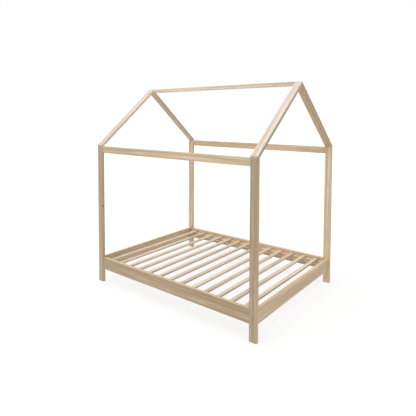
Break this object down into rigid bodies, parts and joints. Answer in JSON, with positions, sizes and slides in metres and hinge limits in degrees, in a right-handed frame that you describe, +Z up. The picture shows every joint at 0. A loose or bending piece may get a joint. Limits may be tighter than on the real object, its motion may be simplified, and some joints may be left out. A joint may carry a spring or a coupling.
{
  "type": "house frame bed",
  "caption": "Low slatted bed for children in an open house-shaped frame of plain pine boards, with upright posts, eave rails, gable rafters and a ridge beam.",
  "frame": {"origin": "on the floor, under the middle of the bed", "axes": "+X along the bed, +Y across it towards the back, +Z up"},
  "size_m": [2, 1.52, 2.1106],
  "materials": {
    "pine_posts": "planed, unfinished",
    "pine_rafters": "planed, unfinished",
    "pine_rails": "planed, unfinished",
    "pine_ledgers": "planed, unfinished",
    "pine_slats": "planed, unfinished",
    "pine_plugs": "sanded, end grain out",
    "beech_dowels": "fluted, glued",
    "zinc_steel": "zinc plated"
  },
  "bodies": {
    "root": {"post_front_left": "pine_posts", "post_front_right": "pine_posts", "post_back_left": "pine_posts", "post_back_right": "pine_posts", "rafter_left_front": "pine_rafters", "rafter_left_back": "pine_rafters", "rafter_right_front": "pine_rafters", "rafter_right_back": "pine_rafters", "side_rail_front": "pine_rails", "side_rail_back": "pine_rails", "end_rail_left": "pine_rails", "end_rail_right": "pine_rails", "eave_rail_front": "pine_rails", "eave_rail_back": "pine_rails", "ridge_beam": "pine_rails", "ledger_front": "pine_ledgers", "ledger_back": "pine_ledgers", "slat_01": "pine_slats", "slat_02": "pine_slats", "slat_03": "pine_slats", "slat_04": "pine_slats", "slat_05": "pine_slats", "slat_06": "pine_slats", "slat_07": "pine_slats", "slat_08": "pine_slats", "slat_09": "pine_slats", "slat_10": "pine_slats", "slat_11": "pine_slats", "slat_12": "pine_slats", "slat_13": "pine_slats", "bolt_plugs": "pine_plugs", "rafter_plugs": "pine_plugs", "ridge_plugs": "pine_plugs", "rail_dowels": "beech_dowels", "roof_dowels": "beech_dowels", "long_bolts": "zinc_steel", "short_bolts": "zinc_steel", "barrel_nuts": "zinc_steel", "rafter_screws": "zinc_steel", "ridge_screws": "zinc_steel", "ledger_screws": "zinc_steel", "slat_screws": "zinc_steel"}
  },
  "joints": []
}
